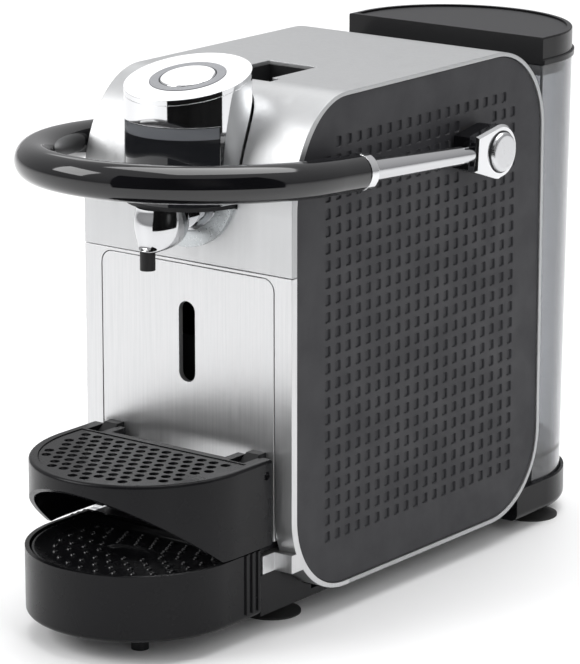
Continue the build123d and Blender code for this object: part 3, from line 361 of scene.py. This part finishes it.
def side_outline(inset, front_inset):
    """The case's side profile, (y, z), moved inwards."""
    y0, y1 = FRONT_Y + front_inset, FRONT_Y + CASE_D - inset
    z0, z1 = CASE_LOW + inset, CASE_LOW + CASE_H - inset
    rb, rf, drop = CORNER_R - inset, CORNER_R - front_inset, BROW_DROP - inset
    return (
        arc_points(y1 - rb, z1 - rb, rb, rb, 0)
        + arc_points(y0 + rf, z1 - drop, rf, drop, 90)
        + arc_points(y0 + rf, z0 + rb, rf, rb, 180)
        + arc_points(y1 - rb, z0 + rb, rb, rb, 270)
    )


def inside(point, outline):
    """Whether a point lies inside a closed outline."""
    y, z = point
    hit = False
    for (ya, za), (yb, zb) in zip(outline, outline[1:] + outline[:1]):
        if (za > z) != (zb > z) and y < ya + (z - za) / (zb - za) * (yb - ya):
            hit = not hit
    return hit


def rounded_cell(cy, cz, w, h, r):
    """Rounded rectangle outline about a centre."""
    points = []
    for sy, sz, start in ((1, 1, 0), (-1, 1, 90), (-1, -1, 180), (1, -1, 270)):
        points += arc_points(cy + sy * (w / 2 - r), cz + sz * (h / 2 - r), r, r, start, 2)
    return points


def circle(cy, cz, r, count):
    return [(cy + r * cos(2 * pi * i / count), cz + r * sin(2 * pi * i / count)) for i in range(count)]


def bridge(bm, a, b):
    """Quads between two closed loops of the same length."""
    for i in range(len(a)):
        j = (i + 1) % len(a)
        bm.faces.new((a[i], a[j], b[j], b[i]))


def finish_mesh(bm, name, materials, smooth_angle=35):
    bmesh.ops.recalc_face_normals(bm, faces=bm.faces)
    mesh = bpy.data.meshes.new(name)
    bm.to_mesh(mesh)
    bm.free()
    for m in materials:
        mesh.materials.append(m)
    mesh.shade_smooth()
    mesh.set_sharp_from_angle(angle=radians(smooth_angle))
    obj = bpy.data.objects.new(name, mesh)
    bpy.context.scene.collection.objects.link(obj)
    return obj


# ---------------------------------------------------------------- side panels
PANEL_X = HALF_W - 0.0008
PANEL_T = 0.0025
PANEL_INSET, PANEL_FRONT_INSET = 0.00215, 0.00415
EDGE_ROUND = 0.0004
HOLE_SIDES = 40
FIELD_INSET, FIELD_FRONT_INSET = 0.0205, 0.0225
CELL_W, CELL_H = 0.0046, 0.0056
# From the mouth to the floor of a cell: how much narrower, corner radius, depth.
CELL_STEPS = ((0, 0.0010, 0), (0.0006, 0.0008, 0.0003), (0.0008, 0.0008, 0.0009))
CELL_COLUMNS, CELL_ROWS = 20, 24
CELL_PITCH_Y, CELL_PITCH_Z = 0.0081, 0.0084
CELL_START_Y, CELL_START_Z = FRONT_Y + 0.0292, CASE_LOW + 0.0275
GLAND = (FRONT_Y + 0.176, CASE_LOW + 0.030)

# Holes in the panels, and discs that the cells keep clear of, as (y, z, radius).
BUSH_HOLE = (PIVOT.y, PIVOT.z, 0.0096)
BOSS_CLEAR = (PIVOT.y, PIVOT.z, 0.0185)
GLAND_HOLE = (*GLAND, 0.006)
GLAND_CLEAR = (*GLAND, 0.014)


def cell_centres(keep_clear):
    """Centres of the recessed cells, inside the rounded field and clear of the given discs."""
    field = side_outline(FIELD_INSET, FIELD_FRONT_INSET)
    centres = []
    for i in range(CELL_COLUMNS):
        for j in range(CELL_ROWS):
            c = (CELL_START_Y + i * CELL_PITCH_Y, CELL_START_Z + j * CELL_PITCH_Z)
            clear = all((c[0] - y) ** 2 + (c[1] - z) ** 2 > r * r for y, z, r in keep_clear)
            if clear and inside(c, field):
                centres.append(c)
    return centres


def panel(name, side, holes, keep_clear):
    """Moulded side panel with a softened edge and small recessed cells."""
    bm = bmesh.new()

    def loop(points, depth):
        return [bm.verts.new((side * (PANEL_X - depth), y, z)) for y, z in points]

    rim = side_outline(PANEL_INSET + EDGE_ROUND, PANEL_FRONT_INSET + EDGE_ROUND)
    wall = side_outline(PANEL_INSET, PANEL_FRONT_INSET)
    top = loop(rim, 0)
    upper = loop(wall, EDGE_ROUND)
    lower = loop(wall, PANEL_T)
    bridge(bm, top, upper)
    bridge(bm, upper, lower)
    loops, points = [top], [rim]
    back_loops, back_points = [lower], [wall]
    for y, z, r in holes:
        ring = circle(y, z, r, HOLE_SIDES)
        front, back = loop(ring, 0), loop(ring, PANEL_T)
        bridge(bm, front, back)
        loops.append(front)
        points.append(ring)
        back_loops.append(back)
        back_points.append(ring)
    for y, z in cell_centres(keep_clear):
        outlines = [rounded_cell(y, z, CELL_W - less, CELL_H - less, r) for less, r, depth in CELL_STEPS]
        mouth, throat, floor = [loop(each, step[2]) for each, step in zip(outlines, CELL_STEPS)]
        bridge(bm, mouth, throat)
        bridge(bm, throat, floor)
        bm.faces.new(floor)
        loops.append(mouth)
        points.append(outlines[0])
    fill(bm, loops, points)
    fill(bm, back_loops, back_points)
    return finish_mesh(bm, name, [FINISH["panel"]])


def fill(bm, loops, points):
    """Triangles between an outer loop and the loops inside it."""
    verts = [v for each in loops for v in each]
    flat = [Vector(p) for each in points for p in each]
    edges, start = [], 0
    for each in points:
        edges += [(start + i, start + (i + 1) % len(each)) for i in range(len(each))]
        start += len(each)
    triangles = delaunay_2d_cdt(flat, edges, [], 0, 1e-7)[2]
    outer, inner = points[0], points[1:]
    # the boxes only save time: inside() is asked of the loops that are near
    boxes = [
        (min(y for y, z in p), max(y for y, z in p), min(z for y, z in p), max(z for y, z in p), p)
        for p in inner
    ]
    for tri in triangles:
        mid = sum((flat[i] for i in tri), Vector((0, 0))) / 3
        if not inside(mid, outer):
            continue
        near = [p for y0, y1, z0, z1, p in boxes if y0 < mid[0] < y1 and z0 < mid[1] < z1]
        if not any(inside(mid, p) for p in near):
            bm.faces.new([verts[i] for i in tri])


right = panel("side_panel_right_cells", 1, [BUSH_HOLE], [BOSS_CLEAR])
left = panel("side_panel_left_cells", -1, [BUSH_HOLE, GLAND_HOLE], [BOSS_CLEAR, GLAND_CLEAR])
for piece, node in ((right, "side_panel_right"), (left, "side_panel_left")):
    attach(piece, "case")
    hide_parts(node)


# ---------------------------------------------------------------- lever end details
PLATE_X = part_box("lever_caps")[1][0] - 0.0025
PLATE_FACE_AHEAD = 0.021
PLATE_RISE = radians(4)
SEAM_BELOW, SEAM_PROUD = 0.0002, 0.0003
SEAM_INNER_R, SEAM_OUTER_R = 0.0099, 0.0106
INSERT_FROM_EDGE, INSERT_UP = 0.0026, 0.0002
INSERT_W, INSERT_H, INSERT_R = 0.0030, 0.0118, 0.0008
# From the insert's foot to its top: how much narrower, height over the plate's face.
INSERT_STEPS = ((0.0, -0.0004), (0.0, 0.00025), (0.0003, 0.0004))


def turned(profile, name, materials):
    """Ring turned about X from (x, radius) points, centred on the lever's pivot."""
    sides = 64
    bm = bmesh.new()
    loops = [
        [
            bm.verts.new((x, PIVOT.y + r * cos(2 * pi * i / sides), PIVOT.z + r * sin(2 * pi * i / sides)))
            for i in range(sides)
        ]
        for x, r in profile
    ]
    for a, b in zip(loops, loops[1:] + loops[:1]):
        bridge(bm, a, b)
    return finish_mesh(bm, name, materials)


def cap_seam(side, name):
    """Dark seam round the foot of the end cap."""
    low, high = side * (PLATE_X - SEAM_BELOW), side * (PLATE_X + SEAM_PROUD)
    profile = [(low, SEAM_INNER_R), (high, SEAM_INNER_R), (high, SEAM_OUTER_R), (low, SEAM_OUTER_R)]
    return turned(profile, name, [FINISH["black_matt"]])


def plate_insert(side, name):
    """Dark rounded bar standing a little proud of the end plate's front face."""
    ahead = Vector((0, -cos(PLATE_RISE), sin(PLATE_RISE)))
    up = Vector((0, sin(PLATE_RISE), cos(PLATE_RISE)))
    face = PIVOT + ahead * PLATE_FACE_AHEAD
    centre_x = side * (PLATE_X - INSERT_FROM_EDGE)
    bm = bmesh.new()
    loops = []
    for less, proud in INSERT_STEPS:
        outline = rounded_cell(centre_x, INSERT_UP, INSERT_W - less, INSERT_H - less, INSERT_R)
        loops.append([bm.verts.new(face + Vector((x, 0, 0)) + up * z + ahead * proud) for x, z in outline])
    for a, b in zip(loops, loops[1:]):
        bridge(bm, a, b)
    bm.faces.new(loops[0])
    bm.faces.new(loops[-1])
    return finish_mesh(bm, name, [FINISH["grip"]])


for side, tag in ((1, "right"), (-1, "left")):
    seam = cap_seam(side, f"cap_seam_{tag}")
    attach(seam, "lever")
    insert = plate_insert(side, f"plate_insert_{tag}")
    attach(insert, "lever")


# ---------------------------------------------------------------- drip tray cover
# The cover is a rectangle behind NOSE_Y and half an ellipse in front of it.
NOSE_Y = FRONT_Y - 0.039
TRAY_CENTRE = Vector((0, NOSE_Y - 0.004))
TRAY_SIDES = 96
DISH_DEPTH = 0.0026
OVAL_RX, OVAL_RY = 0.0135, 0.0072
# Rows of beads, as shares of the way from the oval to the rim.
BEAD_ROWS = (0.12, 0.31, 0.50, 0.69)
BEAD_PITCH = 0.0092
BEAD_R, BEAD_H = 0.0017, 0.0014
BEAD_SUNK = 0.0003
BEAD_BACK_GAP = 0.004


def tray_outline():
    """D-shaped outline of the cover, (x, y), found by walking in towards the centre."""
    lo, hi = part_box("tray_cover")
    half_w, back = hi[0], hi[1]
    nose = NOSE_Y - lo[1]
    points = []
    for i in range(TRAY_SIDES):
        turn = 2 * pi * i / TRAY_SIDES
        way = Vector((cos(turn), sin(turn)))
        reach = 0.2
        while True:
            p = TRAY_CENTRE + way * reach
            in_front = p.y < NOSE_Y and (p.x / half_w) ** 2 + ((p.y - NOSE_Y) / nose) ** 2 <= 1
            behind = p.y >= NOSE_Y and abs(p.x) <= half_w and p.y <= back
            if in_front or behind:
                break
            reach -= 0.0001
        points.append(p)
    return points


def tray_cover():
    """Dished cover with rings of raised beads round an oval drain recess."""
    lo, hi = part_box("tray_cover")
    rim = tray_outline()
    turns = [2 * pi * i / TRAY_SIDES for i in range(TRAY_SIDES)]
    oval = [TRAY_CENTRE + Vector((OVAL_RX * cos(turn), OVAL_RY * sin(turn))) for turn in turns]
    dish = hi[2] - DISH_DEPTH
    bm = bmesh.new()

    def ring(share, z):
        return [bm.verts.new((*(a.lerp(b, share)), z)) for a, b in zip(oval, rim)]

    # share of the way from the oval to the rim, and height:
    # from the underside's edge up over the rim, down the dish and into the recess
    steps = (
        (1.0, lo[2]), (1.0, hi[2] - 0.0004), (0.99, hi[2]), (0.965, hi[2]), (0.95, hi[2] - 0.0003),
        (0.88, dish + 0.0009), (0.80, dish + 0.0002), (0.72, dish), (0.3, dish - 0.0001),
        (0.06, dish - 0.0001), (0.02, dish - 0.0002), (0.0, dish - 0.0009), (-0.06, dish - 0.0012),
    )
    loops = [ring(share, z) for share, z in steps]
    for a, b in zip(loops, loops[1:]):
        bridge(bm, a, b)
    bm.faces.new(loops[-1])
    bm.faces.new(loops[0])
    for row, share in enumerate(BEAD_ROWS):
        path = [a.lerp(b, share) for a, b in zip(oval, rim)]
        path.append(path[0])
        total = sum((q - p).length for p, q in zip(path, path[1:]))
        step = total / round(total / BEAD_PITCH)
        # every other row starts half a step further on
        walked, due = 0.0, (row % 2) * 0.5 * step
        for p, q in zip(path, path[1:]):
            length = (q - p).length
            while due <= walked + length and due < total:
                spot = p.lerp(q, (due - walked) / length)
                if spot.y < hi[1] - BEAD_BACK_GAP:
                    bead(bm, spot, dish - BEAD_SUNK)
                due += step
            walked += length
    return finish_mesh(bm, "tray_cover_beaded", [FINISH["black"], FINISH["grip"]], 50)


def bead(bm, spot, z):
    """Small low dome, in the mesh's second material."""
    sides, rings = 12, 4
    loops = []
    for k in range(rings):
        rise = radians(90 * k / rings)
        r = BEAD_R * cos(rise)
        loops.append([
            bm.verts.new((
                spot.x + r * cos(2 * pi * i / sides),
                spot.y + r * sin(2 * pi * i / sides),
                z + BEAD_H * sin(rise),
            ))
            for i in range(sides)
        ])
    for a, b in zip(loops, loops[1:]):
        bridge(bm, a, b)
    tip = bm.verts.new((spot.x, spot.y, z + BEAD_H))
    for i in range(sides):
        bm.faces.new((loops[-1][i], loops[-1][(i + 1) % sides], tip))
    bm.faces.new(loops[0])
    for v in [tip] + [v for each in loops for v in each]:
        for face in v.link_faces:
            face.material_index = 1


cover = tray_cover()
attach(cover, "drawer")
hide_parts("tray_cover")


# ---------------------------------------------------------------- floor and light
FLOOR_REACH = 9.0
CARD_R, CARD_LOW, CARD_HIGH = 0.75, 0.001, 0.9
CARD_START, CARD_SWEEP, CARD_STEPS = 2, 93, 24
TARGET = (0, -0.02, 0.13)
# Name, place, size and power of each area light.
LIGHTS = (
    ("key", (-1.6, -1.9, 1.9), (1.6, 1.6), 43),
    ("fill", (2.0, -0.9, 1.1), (0.6, 1.6), 13),
    ("top", (0.1, 0.6, 2.4), (2.0, 2.0), 50),
    ("back", (-1.25, 1.15, 1.35), (0.6, 0.6), 1.3),
)


def add_floor():
    s = Shader("floor_white", Roughness=0.55)
    s.shade(s.noise(0.7), (0.90, 0.90, 0.90), (0.93, 0.93, 0.93))
    mesh = bpy.data.meshes.new("floor")
    r = FLOOR_REACH
    mesh.from_pydata([(-r, -r, 0), (r, -r, 0), (r, r, 0), (-r, r, 0)], [], [(0, 1, 2, 3)])
    mesh.materials.append(s.material)
    floor = bpy.data.objects.new("floor", mesh)
    bpy.context.scene.collection.objects.link(floor)


def add_light(name, where, size, power):
    """Rectangular area light aimed at TARGET."""
    data = bpy.data.lights.new(name, "AREA")
    data.shape = "RECTANGLE"
    data.size, data.size_y = size
    data.energy = power
    lamp = bpy.data.objects.new(name, data)
    lamp.location = where
    lamp.rotation_euler = (Vector(TARGET) - Vector(where)).to_track_quat("-Z", "Y").to_euler()
    bpy.context.scene.collection.objects.link(lamp)


def add_dark_card():
    """A black card curved round the front right side, seen only in reflections."""
    s = Shader("card_black", Roughness=1.0, Specular_IOR_Level=0.0)
    s.shade(s.noise(2), (0.0, 0.0, 0.0), (0.01, 0.01, 0.01))
    bm = bmesh.new()
    low, high = [], []
    for i in range(CARD_STEPS + 1):
        a = radians(CARD_START + CARD_SWEEP * i / CARD_STEPS)
        x, y = CARD_R * sin(a), -CARD_R * cos(a)
        low.append(bm.verts.new((x, y, CARD_LOW)))
        high.append(bm.verts.new((x, y, CARD_HIGH)))
    for i in range(CARD_STEPS):
        bm.faces.new((low[i], low[i + 1], high[i + 1], high[i]))
    card = finish_mesh(bm, "dark_card", [s.material])
    card.visible_camera = False
    card.visible_diffuse = False
    card.visible_transmission = False
    card.visible_shadow = False


def add_world():
    """Pale surroundings, darker towards and below the horizon."""
    world = bpy.data.worlds.new("studio")
    world.use_nodes = True
    tree = world.node_tree
    tree.nodes.clear()
    out = tree.nodes.new("ShaderNodeOutputWorld")
    back = tree.nodes.new("ShaderNodeBackground")
    coords = tree.nodes.new("ShaderNodeTexCoord")
    split = tree.nodes.new("ShaderNodeSeparateXYZ")
    ramp = tree.nodes.new("ShaderNodeValToRGB")
    tree.links.new(coords.outputs["Generated"], split.inputs[0])
    tree.links.new(split.outputs["Z"], ramp.inputs[0])
    tree.links.new(ramp.outputs[0], back.inputs["Color"])
    tree.links.new(back.outputs[0], out.inputs["Surface"])
    ramp.color_ramp.elements[0].position = 0.02
    ramp.color_ramp.elements[0].color = (0.55, 0.55, 0.56, 1)
    ramp.color_ramp.elements[1].position = 0.7
    ramp.color_ramp.elements[1].color = (0.95, 0.95, 0.96, 1)
    back.inputs["Strength"].default_value = 0.75
    bpy.context.scene.world = world


add_floor()
add_world()
add_dark_card()
for name, where, size, power in LIGHTS:
    add_light(name, where, size, power)
